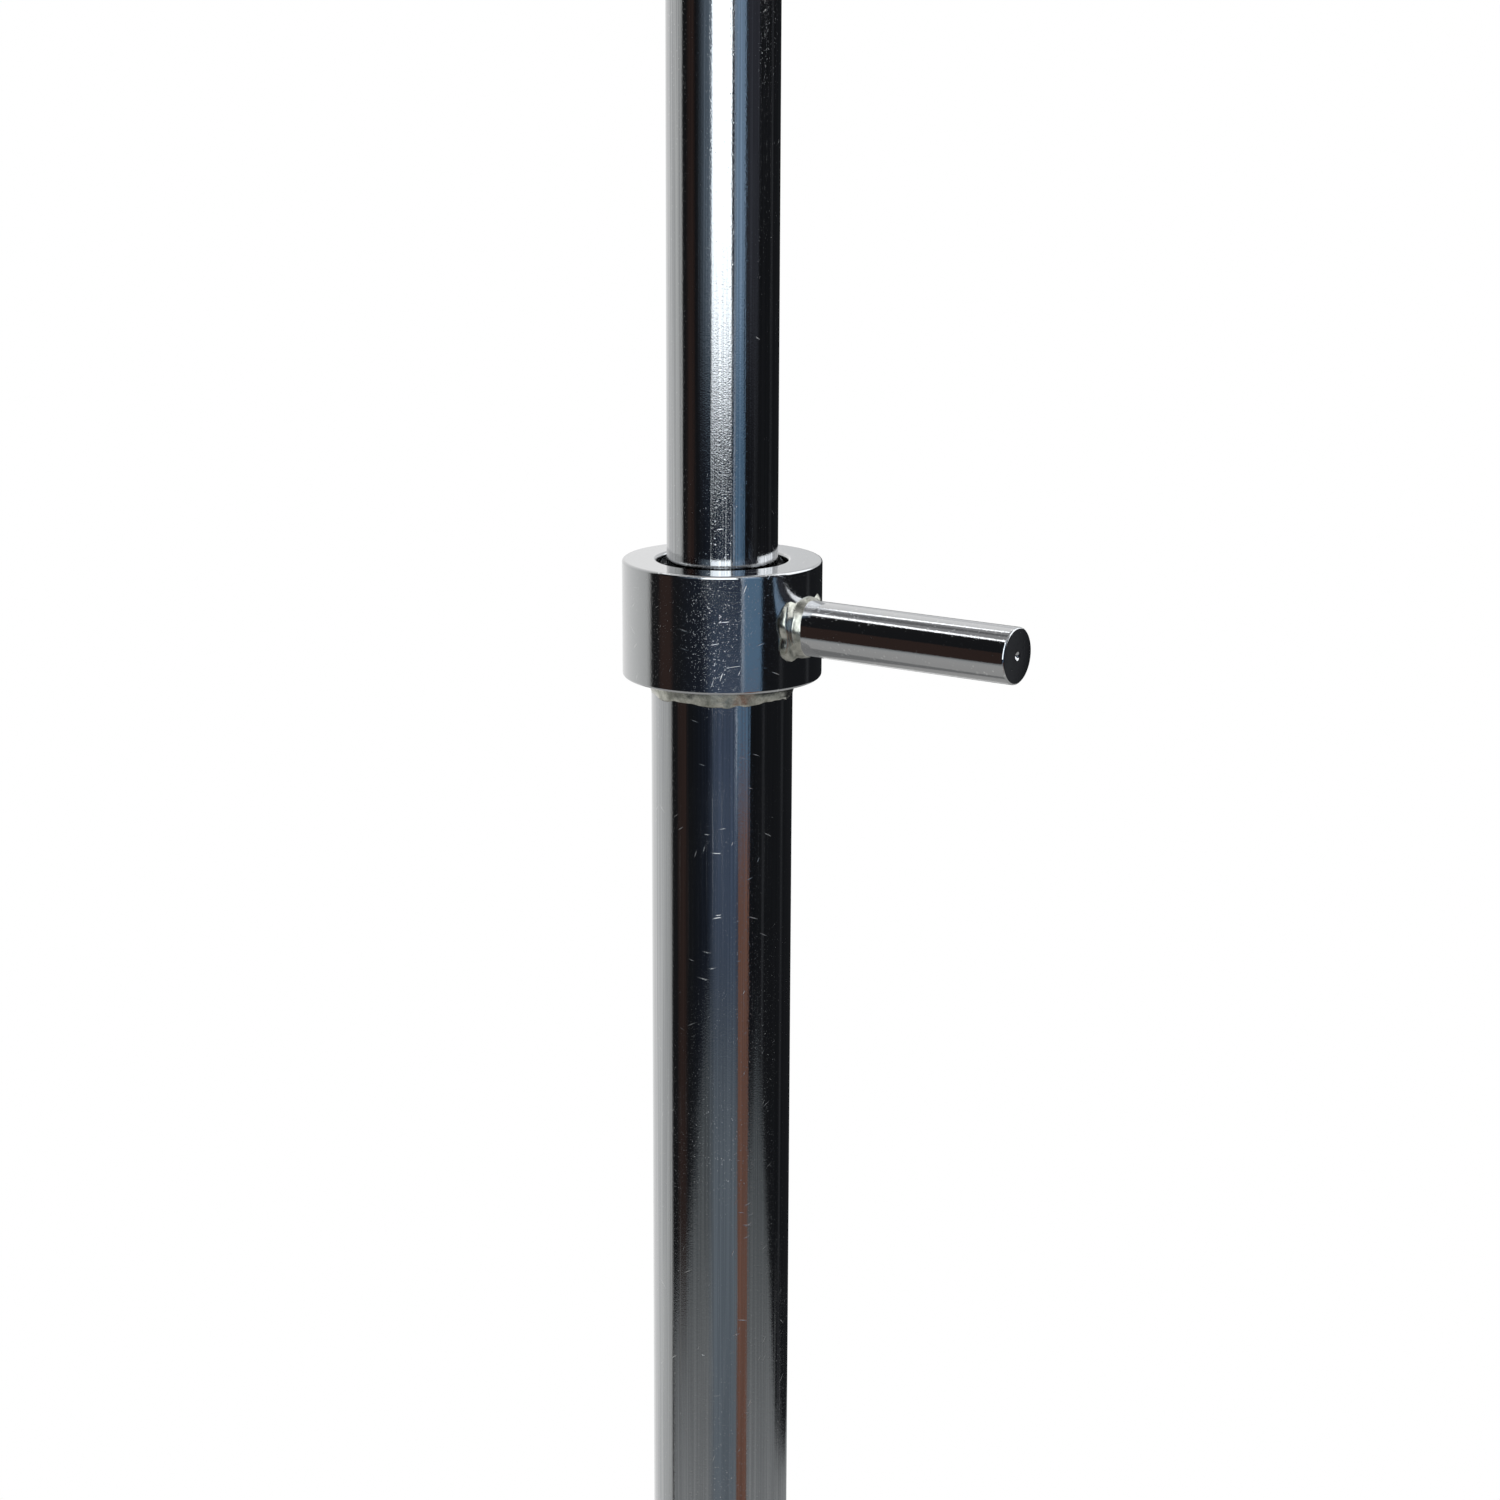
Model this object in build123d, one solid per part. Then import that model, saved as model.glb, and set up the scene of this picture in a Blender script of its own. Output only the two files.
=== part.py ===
from build123d import *
import math
import os

# A hospital drip stand: a telescopic pole on five castors, in millimetres.
# +Z is up, the pole's axis is the Z axis and the floor is z = 0.
# The pole is held by a turning collar, whose welded handle points along +X when the pole is locked.

# pole, the sliding upper tube
pole_od = 25.0
pole_wall = 1.5
pole_showing = 450.0  # pole above the collar at rest
head_gap = 20.0  # left between hook head and collar when the pole is right down
pole_foot_gap = 3.0  # left over the buffer when the pole is right down

# column, the fixed lower tube
column_room = 2.0  # radial space between pole and column, which the bushes fill
column_wall = 1.5
column_top = 1200.0  # top face of the lock collar

# lock collar
collar_wall = 6.45
collar_lip = 3.0
lip_room = 2.25  # radial gap between lip and pole
collar_edge = 0.5
collar_turn = 75.0  # degrees from locked to free
lip_clearance = 0.4

# handle, a plain bar welded to the collar
handle_diameter = 12.5
handle_reach = 75.5  # from the pole's axis
handle_socket = 2.0
handle_weld_leg = 3.0
handle_edge = 0.4
centre_mark = 0.8

# cam lock inside the collar
shoe_angle = 180.0  # where the clamp shoe sits round the pole
shoe_width = 8.0
shoe_height = 12.0
shoe_proud = 1.3  # how far the shoe's nose stands out of the column when locked
shoe_nose = 6.0
shoe_lift = 0.6  # outward travel when the collar is free
cam_gap = 0.1
cam_margin = 18.0  # degrees of cam pocket past each end of the travel
pocket_room = 0.5
pocket_cover = 2.5  # collar left above the pocket, under the lip
window_gap = 0.15

# stop screw, which keeps the collar on and limits its turn
screw_angle = 60.0
screw_band = 7.6  # height of plain collar round the screw
screw_radius = 2.5
dog_radius = 1.9
dog_reach = 0.25  # left between the dog and the guide bush
screw_sink = 0.3
screw_hex = 2.5
key_deep = 2.2
slot_gap = 0.3

# seat weld, built up on the column under the collar
seat_leg = 4.0
seat_width = 0.9
seat_full = 0.8  # share of its width that the bead keeps at half its height
seat_gap = 0.3

# guide bush in the column's mouth, and the foot bush on the pole
guide_length = 60.0
guide_sink = 0.6
foot_length = 40.0
running = 0.05  # radial clearance of a running fit
fit_gap = 0.02  # radial clearance of a fixed fit
circlip_thick = 1.2
circlip_depth = 0.5
circlip_stand = 0.9
circlip_gap_angle = 40.0
circlip_up = 4.0  # from the pole's foot to the lower circlip

# base
leg_count = 5
base_reach = 290.0
leg_od = 22.0
leg_wall = 1.5
leg_sink = 9.0  # how deep a leg sits in the hub
leg_drop = 24.0
leg_bend = 45.0
leg_room = 1.0  # straight leg left above the castor's socket
hub_wall = 17.0
hub_height = 50.0
hub_web = 8.0
hub_round = 9.0
hub_foot_round = 3.0
plug_length = 25.0
buffer_length = 10.0
buffer_edge = 1.5
leg_weld_leg = 4.0
leg_weld_sink = 1.0  # how far the bead starts inside the sloping leg, before the leg is cut from it
weld_hollow = 1.4  # a fillet's hollow radius over its leg
first_leg = 90.0  # degrees
bolt_radius = 6.0
bolt_head_across = 19.0
bolt_head = 7.5
bolt_round = 1.5
bolt_cone = 1.2  # radius of the head's chamfer cone over half its flats
bolt_gap = 0.25
bolt_short = 3.0
washer_radius = 14.0
washer_thick = 2.5

# castors
wheel_radius = 25.0
tyre_width = 16.0
tyre_round = 3.5
tyre_thick = 6.0
rim_thick = 4.0
web_half = 2.5
wheel_boss = 8.0
axle_radius = 3.0
axle_head = 5.5
axle_head_thick = 2.5
axle_dome = 1.0
axle_tail = 0.8
trail = 20.0
fork_inside = 20.0
fork_plate = 2.5
fork_gap = 6.0  # between tyre and fork bridge
fork_bridge = 3.0
fork_disc = 16.0
fork_boss = 9.0
fork_round = 3.0
kingpin_radius = 5.0
kingpin_head = 8.0
kingpin_head_thick = 2.0
race_radius = 13.0
race_thick = 4.3
race_gap = 0.2
flange_edge = 1.0
stem_radius = 5.5
stem_length = 28.0
stem_nose = 1.5
socket_flange = 2.0
socket_gap = 0.5
side_gap = 0.3

# brake pedals on the first two castors
brake_count = 2
brake_turn = 16.0
pedal_out = 14.0  # pedal's pin, outwards from the axle
pedal_down = 3.0  # and below the fork's bridge
pedal_pin = 2.0
pedal_eye = 3.4
pedal_plate = 3.0
pedal_reach = 32.0
pedal_tread = 20.0
pedal_width = 26.0
pedal_round = 4.0
pin_head = 3.2
pin_head_thick = 1.0
toe_radius = 2.0
toe_gap = 0.3  # left between toe and tyre with the brake on
ear_radius = 5.0

# hook head and hooks
head_step = 2.5  # how far the hook head stands out past the pole
head_height = 26.0
head_spigot = 30.0
head_round = 7.0
head_chamfer = 1.0
hook_count = 4
hook_radius = 3.5
hook_root = 6.0
hook_height = 15.0  # rod centre above the head's underside
hook_neck = 38.0
hook_dip_start = 56.0
hook_dip_end = 80.0
hook_dip = 26.0
hook_tip_out = 92.0
hook_tip_up = 14.0
hook_bend = 11.0
hook_ball = 5.5
head_screw_radius = 2.5
head_screw_root = 3.0

# how far a cutting shape runs past what it cuts
past = 1.0

# places that follow from the sizes above
BOTTOM = (Align.CENTER, Align.CENTER, Align.MIN)
OUTWARD = (Align.MIN, Align.CENTER, Align.CENTER)
pole_radius = pole_od / 2
pole_bore = pole_radius - pole_wall
column_bore = pole_radius + column_room
column_radius = column_bore + column_wall
column_end = column_top - collar_lip - lip_clearance
collar_radius = column_radius + running + collar_wall
lip_bore = pole_radius + lip_room
head_radius = pole_radius + head_step
pole_top = column_top + pole_showing
pole_down = pole_showing - head_gap
shoe_tip = column_radius + shoe_proud
pocket_top = column_end - pocket_cover
pocket_bottom = pocket_top - shoe_height - 2 * pocket_room
shoe_z = pocket_bottom + pocket_room + shoe_height / 2
collar_bottom = pocket_bottom - screw_band
screw_z = pocket_bottom - screw_band / 2
handle_radius = handle_diameter / 2
handle_z = (column_top + collar_bottom) / 2
fork_outside = fork_inside + 2 * fork_plate
bridge_bottom = 2 * wheel_radius + fork_gap
bridge_top = bridge_bottom + fork_bridge
race_bottom = bridge_top + race_gap
race_top = race_bottom + race_thick
stem_top = race_top + stem_length
socket_bottom = race_top + socket_gap
leg_end = socket_bottom + socket_flange
hub_radius = column_radius + hub_wall
leg_start = hub_radius - leg_sink
leg_radius = leg_od / 2
leg_bore = leg_radius - leg_wall
leg_slope = math.atan2(leg_drop, base_reach - leg_start)
leg_corner_z = stem_top + leg_room + leg_bend * math.tan(math.pi / 4 - leg_slope / 2)
leg_in_z = leg_corner_z + leg_drop
hub_bottom = leg_in_z - hub_height / 2
hub_top = hub_bottom + hub_height
column_foot = hub_bottom + hub_web
buffer_top = column_foot + plug_length + buffer_length
pole_foot = buffer_top + pole_foot_gap + pole_down
rim_radius = wheel_radius - tyre_thick
rim_inner = rim_radius - rim_thick
pivot_x = trail + pedal_out
pivot_z = bridge_bottom - pedal_down
pedal_angle = math.degrees(math.atan2(wheel_radius - pivot_z, -pedal_out))
toe_reach = math.hypot(pedal_out, pivot_z - wheel_radius) - wheel_radius - toe_gap


def rod(radius, low, high):
    """An upright round bar on the Z axis."""
    return Pos(0, 0, low) * Cylinder(radius, high - low, align=BOTTOM)


def ring(radius, bore, low, high):
    return rod(radius, low, high) - rod(bore, low - past, high + past)


def turned(*points):
    """A closed (radius, height) outline turned about the Z axis."""
    return revolve(Plane.XZ * make_face(Polyline(*points, close=True)), Axis.Z)


def along(start, direction):
    """A place at start whose Z axis runs along direction."""
    return Plane(origin=start, z_dir=direction)


def polar(radius, degrees):
    return (radius * math.cos(math.radians(degrees)), radius * math.sin(math.radians(degrees)))


def saddle_weld(place, bar_radius, host_radius, leg):
    """A hollow fillet of weld where a bar, on the Z axis of place, leaves an upright round host."""
    wide = bar_radius + leg
    root = math.sqrt(host_radius**2 - wide**2) - past
    outline = (
        Line((bar_radius, root), (wide, root))
        + Line((wide, root), (wide, host_radius))
        + RadiusArc((wide, host_radius), (bar_radius, host_radius + leg), -weld_hollow * leg)
        + Line((bar_radius, host_radius + leg), (bar_radius, root))
    )
    bead = place * revolve(Plane.XZ * make_face(outline), Axis.Z)
    host = Cylinder(host_radius, 4 * wide)
    return bead - Pos(0, 0, place.origin.Z) * host


# ---- column and base ----

def leg_path():
    return FilletPolyline(
        (leg_start, 0, leg_in_z),
        (base_reach, 0, leg_corner_z),
        (base_reach, 0, leg_end),
        radius=leg_bend,
    )


def leg_tube():
    path = leg_path()
    section = along(path @ 0, path % 0) * (Circle(leg_radius) - Circle(leg_bore))
    return sweep(section, path=path)


def leg_root():
    """The leg's own line carried in to the column's axis, which the hub's sockets are cut along."""
    path = leg_path()
    height = leg_in_z + leg_start * math.tan(leg_slope)
    return along((0, 0, height), path % 0)


def base_hub():
    hub = rod(hub_radius, hub_bottom, hub_top)
    rims = hub.edges().filter_by(GeomType.CIRCLE).sort_by(Axis.Z)
    hub = fillet(rims[-1], hub_round)
    rims = hub.edges().filter_by(GeomType.CIRCLE).sort_by(Axis.Z)
    hub = fillet(rims[0], hub_foot_round)
    hub -= rod(column_radius + fit_gap, column_foot, hub_top + past)
    hub -= rod(bolt_radius + bolt_gap, hub_bottom - past, column_foot + past)
    deep = leg_start / math.cos(leg_slope)
    socket = leg_root() * Pos(0, 0, deep) * Cylinder(leg_radius + fit_gap, hub_radius, align=BOTTOM)
    for n in range(leg_count):
        hub -= Rot(0, 0, leg_angle(n)) * socket
    return hub


def leg_angle(n):
    return first_leg + n * 360 / leg_count


def leg_welds():
    place = leg_root()
    bar = place * Cylinder(leg_radius + fit_gap, 3 * hub_radius, align=BOTTOM)
    inner = leg_radius - leg_weld_sink
    bead = saddle_weld(place, inner, hub_radius, leg_weld_leg + leg_weld_sink) - bar
    return [Rot(0, 0, leg_angle(n)) * bead for n in range(leg_count)]


def leg_socket():
    socket = ring(leg_radius, stem_radius + fit_gap, socket_bottom, leg_end)
    return socket + ring(leg_bore - fit_gap, stem_radius + fit_gap, leg_end, stem_top)


def castor_stem():
    """The kingpin that the fork turns on, with its bearing flange and the stem in the leg."""
    head_top = bridge_bottom - race_gap
    return turned(
        (0, head_top - kingpin_head_thick),
        (kingpin_head - flange_edge, head_top - kingpin_head_thick),
        (kingpin_head, head_top - kingpin_head_thick / 2),
        (kingpin_head, head_top),
        (kingpin_radius, head_top),
        (kingpin_radius, race_bottom),
        (race_radius - flange_edge, race_bottom),
        (race_radius, race_bottom + flange_edge),
        (race_radius, race_top - flange_edge),
        (race_radius - flange_edge, race_top),
        (stem_radius, race_top),
        (stem_radius, stem_top - stem_nose),
        (stem_radius - stem_nose, stem_top),
        (0, stem_top),
    )


def column_tube():
    tube = ring(column_radius, column_bore, column_foot, column_end)
    tube -= shoe_window()
    # the slot that the stop screw's dog runs in
    swing = math.degrees(math.asin((dog_radius + slot_gap) / column_bore))
    slot_half = dog_radius + slot_gap
    profile = Plane.XZ * Pos(column_radius, screw_z) * Rectangle(4 * column_wall, 2 * slot_half)
    slot = revolve(profile, Axis.Z, revolution_arc=collar_turn + 2 * swing)
    return tube - Rot(0, 0, screw_angle - swing) * slot


def shoe_window():
    width = shoe_width + 2 * window_gap
    box = Box(collar_radius, width, shoe_height + 2 * window_gap, align=OUTWARD)
    return Rot(0, 0, shoe_angle) * Pos(0, 0, shoe_z) * box


def column_plug():
    plug = rod(column_bore - fit_gap, column_foot, column_foot + plug_length)
    return plug - rod(bolt_radius, column_foot - past, column_foot + plug_length + past)


def column_washer():
    return ring(washer_radius, bolt_radius + bolt_gap, hub_bottom - washer_thick, hub_bottom)


def column_bolt():
    """A hexagon bolt with a chamfered head, up through the hub into the column's plug."""
    top = hub_bottom - washer_thick
    low = top - bolt_head
    flats = bolt_head_across / 2
    hexagon = Pos(0, 0, low) * extrude(RegularPolygon(flats, 6, major_radius=False), bolt_head)
    corner = bolt_cone * flats
    cone = turned((0, low), (flats, low), (corner, low + bolt_round), (corner, top), (0, top))
    return (hexagon & cone) + rod(bolt_radius, top, column_foot + plug_length - bolt_short)


def pole_buffer():
    block = rod(column_bore - side_gap, column_foot + plug_length, buffer_top)
    return chamfer(block.edges().sort_by(Axis.Z)[-1], buffer_edge)


def guide_bush():
    low, high = column_end - guide_length, column_end - guide_sink
    return ring(column_bore - fit_gap, pole_radius + running, low, high) - shoe_window()


def seat_weld():
    """A full bead round the column, just under the collar."""
    top = collar_bottom - seat_gap
    outline = (
        Line((column_radius, top - seat_leg), (column_radius, top))
        + Line((column_radius, top), (column_radius + seat_width, top))
        + ThreePointArc(
            (column_radius + seat_width, top),
            (column_radius + seat_full * seat_width, top - seat_leg / 2),
            (column_radius, top - seat_leg),
        )
    )
    return revolve(Plane.XZ * make_face(outline), Axis.Z)


# ---- lock collar ----

def cam_pocket():
    """The spiral pocket that lets the shoe out by shoe_lift as the collar turns by collar_turn."""
    locked = shoe_angle
    free = shoe_angle - collar_turn
    first, last = free - cam_margin, locked + cam_margin
    steps = 8
    wall = []
    for n in range(steps + 1):
        angle = first + (last - first) * n / steps
        radius = shoe_tip + cam_gap + shoe_lift * (locked - angle) / collar_turn
        wall.append(polar(radius, angle))
    inside = column_radius - past
    outline = (
        Spline(*wall)
        + Line(wall[-1], polar(inside, last))
        + Line(polar(inside, last), polar(inside, first))
        + Line(polar(inside, first), wall[0])
    )
    return Pos(0, 0, pocket_bottom) * extrude(make_face(outline), shoe_height + 2 * pocket_room)


def lock_collar():
    bore = column_radius + running
    collar = turned(
        (bore, collar_bottom),
        (collar_radius - collar_edge, collar_bottom),
        (collar_radius, collar_bottom + collar_edge),
        (collar_radius, column_top - collar_edge),
        (collar_radius - collar_edge, column_top),
        (lip_bore + collar_edge, column_top),
        (lip_bore, column_top - collar_edge),
        (lip_bore, column_top - collar_lip),
        (bore, column_top - collar_lip),
    )
    collar -= cam_pocket()
    collar -= handle_place() * Pos(0, 0, collar_radius - handle_socket) * Cylinder(
        handle_radius + fit_gap, collar_radius, align=BOTTOM
    )
    return collar - screw_place() * Cylinder(screw_radius + fit_gap, 2 * collar_radius, align=BOTTOM)


def handle_place():
    return along((0, 0, handle_z), (1, 0, 0))


def screw_place():
    x, y = polar(1, screw_angle)
    return along((0, 0, screw_z), (x, y, 0))


def handle_rod():
    root = collar_radius - handle_socket
    bar = turned(
        (0, root),
        (handle_radius, root),
        (handle_radius, handle_reach - handle_edge),
        (handle_radius - handle_edge, handle_reach),
        (centre_mark, handle_reach),
        (0, handle_reach - centre_mark),
    )
    return handle_place() * bar


def handle_weld():
    return saddle_weld(handle_place(), handle_radius, collar_radius, handle_weld_leg)


def hex_key(outer):
    key = RegularPolygon(screw_hex / 2, 6, major_radius=False)
    return Pos(0, 0, outer - key_deep) * extrude(key, key_deep + past)


def stop_screw():
    """A grub screw whose dog runs in the column's slot."""
    dog_end = column_bore + dog_reach
    shoulder = column_radius + slot_gap
    outer = collar_radius - screw_sink
    screw = turned(
        (0, dog_end),
        (dog_radius, dog_end),
        (dog_radius, shoulder),
        (screw_radius, shoulder),
        (screw_radius, outer),
        (0, outer),
    )
    return screw_place() * (screw - hex_key(outer))


def clamp_shoe():
    """The brass shoe that the cam presses against the pole."""
    nose = Pos(shoe_tip - shoe_nose, 0, 0) * Cylinder(shoe_nose, shoe_height)
    flank = Box(shoe_tip - shoe_nose, shoe_width, shoe_height, align=OUTWARD)
    shoe = Box(shoe_tip, shoe_width, shoe_height, align=OUTWARD) & (nose + flank)
    shoe -= Cylinder(pole_radius + running, 2 * shoe_height)
    return Rot(0, 0, shoe_angle) * Pos(0, 0, shoe_z) * shoe


# ---- pole ----

def circlip_heights():
    low = pole_foot + circlip_up
    return low, low + circlip_thick + 2 * side_gap + foot_length


def pole_tube():
    tube = ring(pole_radius, pole_bore, pole_foot, pole_top)
    for low in circlip_heights():
        high = low + circlip_thick
        tube -= ring(pole_radius + past, pole_radius - circlip_depth, low - fit_gap, high + fit_gap)
    return tube - head_screw_place() * Cylinder(head_screw_radius + fit_gap, pole_od, align=BOTTOM)


def head_screw_place():
    return along((0, 0, pole_top - head_spigot / 2), (1, 0, 0))


def pole_circlips():
    clips = []
    inner = pole_radius - circlip_depth + fit_gap
    for low in circlip_heights():
        clip = ring(pole_radius + circlip_stand, inner, low, low + circlip_thick)
        gap = Rot(0, 0, -circlip_gap_angle / 2) * revolve(
            Plane.XZ * Pos(pole_radius, low) * Rectangle(pole_radius, 4 * circlip_thick),
            Axis.Z,
            revolution_arc=circlip_gap_angle,
        )
        clips.append(clip - gap)
    return clips


def pole_foot_bush():
    low = circlip_heights()[0] + circlip_thick + side_gap
    bush = ring(column_bore - running, pole_radius + running, low, low + foot_length)
    return bush


def hook_head():
    head = rod(head_radius, pole_top, pole_top + head_height)
    rims = head.edges().filter_by(GeomType.CIRCLE).sort_by(Axis.Z)
    head = fillet(rims[-1], head_round)
    rims = head.edges().filter_by(GeomType.CIRCLE).sort_by(Axis.Z)
    head = chamfer(rims[0], head_chamfer)
    head += rod(pole_bore - fit_gap, pole_top - head_spigot, pole_top)
    for n in range(hook_count):
        place = Rot(0, 0, hook_angle(n)) * Pos(hook_root, 0, pole_top + hook_height) * Rot(0, 90, 0)
        head -= place * Cylinder(hook_radius + fit_gap, head_radius, align=BOTTOM)
    hole = Pos(0, 0, head_screw_root) * Cylinder(head_screw_radius, pole_bore, align=BOTTOM)
    return head - head_screw_place() * hole


def hook_angle(n):
    return n * 360 / hook_count


def head_screw():
    """A grub screw through the pole's wall into the hook head's spigot."""
    outer = pole_radius - screw_sink
    screw = Pos(0, 0, head_screw_root) * Cylinder(head_screw_radius, outer - head_screw_root, align=BOTTOM)
    return head_screw_place() * (screw - hex_key(outer))


def hook():
    top = pole_top + hook_height
    path = FilletPolyline(
        (hook_root, 0, top),
        (hook_neck, 0, top),
        (hook_dip_start, 0, top - hook_dip),
        (hook_dip_end, 0, top - hook_dip),
        (hook_tip_out, 0, top + hook_tip_up),
        radius=hook_bend,
    )
    bar = sweep(along(path @ 0, path % 0) * Circle(hook_radius), path=path)
    end = path @ 1
    return bar + Pos(end.X, end.Y, end.Z) * Sphere(hook_ball)


# ---- castors, each drawn with its kingpin on the Z axis and its wheel trailing along +X ----

def crosswise(x, z):
    """A place on a castor whose Z axis runs along the axle's line."""
    return Pos(x, 0, z) * Rot(90, 0, 0)


def fork():
    side = make_face(
        Polyline(
            (-fork_boss - fork_bridge, bridge_top),
            (-fork_boss - fork_bridge, bridge_bottom - fork_gap),
            (trail - fork_boss, wheel_radius),
            (trail - fork_boss / 2, wheel_radius - fork_boss),
            (trail + fork_boss / 2, wheel_radius - fork_boss),
            (trail + fork_boss, wheel_radius),
            (pivot_x + ear_radius / 2, pivot_z - ear_radius),
            (pivot_x + ear_radius, pivot_z),
            (pivot_x + ear_radius / 2, pivot_z + ear_radius),
            (fork_disc, bridge_top),
            close=True,
        )
    )
    body = extrude(Plane.XZ * side, fork_outside / 2, both=True)
    ends = body.edges().filter_by(Axis.Y)
    body = fillet(ends.filter_by(lambda edge: edge.center().Z < wheel_radius + past), fork_round)
    body -= Box(6 * trail, fork_inside, bridge_bottom, align=BOTTOM)
    # the bridge stops at the disc, so that a pedal can swing between the ears
    slot = Box(4 * trail, fork_inside, 2 * bridge_top, align=OUTWARD)
    body -= Pos(fork_disc - fork_plate, 0, bridge_top) * slot
    body += rod(fork_disc, bridge_bottom, bridge_top)
    body -= rod(kingpin_radius + running, bridge_bottom - past, bridge_top + past)
    body -= crosswise(trail, wheel_radius) * Cylinder(axle_radius + fit_gap, 2 * fork_outside)
    return body - crosswise(pivot_x, pivot_z) * Cylinder(pedal_pin + fit_gap, 2 * fork_outside)


def axle():
    """An axle bolt with a domed head at one end and a nut at the other."""
    half = fork_outside / 2
    tail = half + axle_head_thick + axle_tail
    bolt = turned(
        (0, -half - axle_head_thick),
        (axle_head - 1.5 * axle_dome, -half - axle_head_thick),
        (axle_head, -half - axle_dome),
        (axle_head, -half),
        (axle_radius, -half),
        (axle_radius, tail),
        (0, tail),
    )
    nut = Pos(0, 0, half) * extrude(RegularPolygon(axle_head, 6), axle_head_thick)
    nut -= Cylinder(axle_radius + fit_gap, 4 * half)
    place = crosswise(trail, wheel_radius)
    return [place * bolt, place * nut]


def wheel():
    boss_half = fork_inside / 2 - side_gap
    rim_half = tyre_width / 2
    bore = axle_radius + running
    core = turned(
        (bore, -boss_half),
        (wheel_boss, -boss_half),
        (wheel_boss, -web_half),
        (rim_inner, -web_half),
        (rim_inner, -rim_half),
        (rim_radius, -rim_half),
        (rim_radius, rim_half),
        (rim_inner, rim_half),
        (rim_inner, web_half),
        (wheel_boss, web_half),
        (wheel_boss, boss_half),
        (bore, boss_half),
    )
    return crosswise(trail, wheel_radius) * core


def tyre():
    section = Pos((rim_radius + wheel_radius) / 2, 0) * Rectangle(wheel_radius - rim_radius, tyre_width)
    section = fillet(section.vertices().group_by(Axis.X)[-1], tyre_round)
    return crosswise(trail, wheel_radius) * revolve(Plane.XZ * section, Axis.Z)


def brake_pedal():
    """A pedal on a pin between the fork's ears, with a toe that turns towards the tyre."""
    across = fork_inside - 2 * side_gap
    neck = pedal_reach - pedal_tread
    arm = Box(neck, pedal_plate, across, align=OUTWARD)
    tread = Pos(neck, 0, 0) * Box(pedal_tread, pedal_plate, pedal_width, align=OUTWARD)
    tread = fillet(tread.edges().filter_by(Axis.Y), pedal_round)
    toe_x, toe_z = polar(toe_reach - toe_radius, pedal_angle + brake_turn)
    toe = Pos(toe_x, toe_z, 0) * Cylinder(toe_radius, across)
    lever = Cylinder(pedal_eye, across) + arm + tread + toe
    lever -= Cylinder(pedal_pin + running, 2 * across)
    return crosswise(pivot_x, pivot_z) * lever


def brake_pin():
    half = fork_outside / 2
    head = Cylinder(pin_head, pin_head_thick, align=BOTTOM)
    pin = Cylinder(pedal_pin, 2 * half) + Pos(0, 0, half) * head + Pos(0, 0, -half - pin_head_thick) * head
    return crosswise(pivot_x, pivot_z) * pin


# ---- assembly ----

def at_castor(n):
    x, y = polar(base_reach, leg_angle(n))
    return Pos(x, y, 0) * Rot(0, 0, leg_angle(n))


def build():
    made = {
        "base_hub": base_hub(),
        "leg_welds": leg_welds(),
        "leg_sockets": [at_castor(n) * leg_socket() for n in range(leg_count)],
        "castor_stems": [at_castor(n) * castor_stem() for n in range(leg_count)],
        "column_tube": column_tube(),
        "column_plug": column_plug(),
        "column_washer": column_washer(),
        "column_bolt": column_bolt(),
        "pole_buffer": pole_buffer(),
        "guide_bush": guide_bush(),
        "seat_weld": seat_weld(),
        "lock_collar": lock_collar(),
        "handle_rod": handle_rod(),
        "handle_weld": handle_weld(),
        "stop_screw": stop_screw(),
        "clamp_shoe": clamp_shoe(),
        "pole_tube": pole_tube(),
        "pole_circlips": pole_circlips(),
        "pole_foot_bush": pole_foot_bush(),
        "hook_head": hook_head(),
        "head_screw": head_screw(),
    }
    leg, one_hook = leg_tube(), hook()
    for n in range(leg_count):
        made[f"leg_{n + 1}"] = Rot(0, 0, leg_angle(n)) * leg
    for n in range(hook_count):
        made[f"hook_{n + 1}"] = Rot(0, 0, hook_angle(n)) * one_hook
    one_fork, one_axle, one_wheel, one_tyre = fork(), axle(), wheel(), tyre()
    for n in range(leg_count):
        place = at_castor(n)
        made[f"castor_fork_{n + 1}"] = place * one_fork
        made[f"castor_axle_{n + 1}"] = [place * piece for piece in one_axle]
        made[f"castor_wheel_{n + 1}"] = place * one_wheel
        made[f"castor_tyre_{n + 1}"] = place * one_tyre
    for n in range(brake_count):
        made[f"brake_pedal_{n + 1}"] = at_castor(n) * brake_pedal()
        made[f"brake_pin_{n + 1}"] = at_castor(n) * brake_pin()
    return made


def save(made):
    os.makedirs("parts", exist_ok=True)
    for name, shape in made.items():
        pieces = shape if isinstance(shape, list) else [shape]
        solids = [solid for piece in pieces for solid in piece.solids()]
        whole = solids[0] if len(solids) == 1 else Compound(children=solids)
        export_step(whole, f"parts/{name}.step")


save(build())
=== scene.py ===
import math

import bmesh
import bpy
from mathutils import Matrix, Vector, noise


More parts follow.
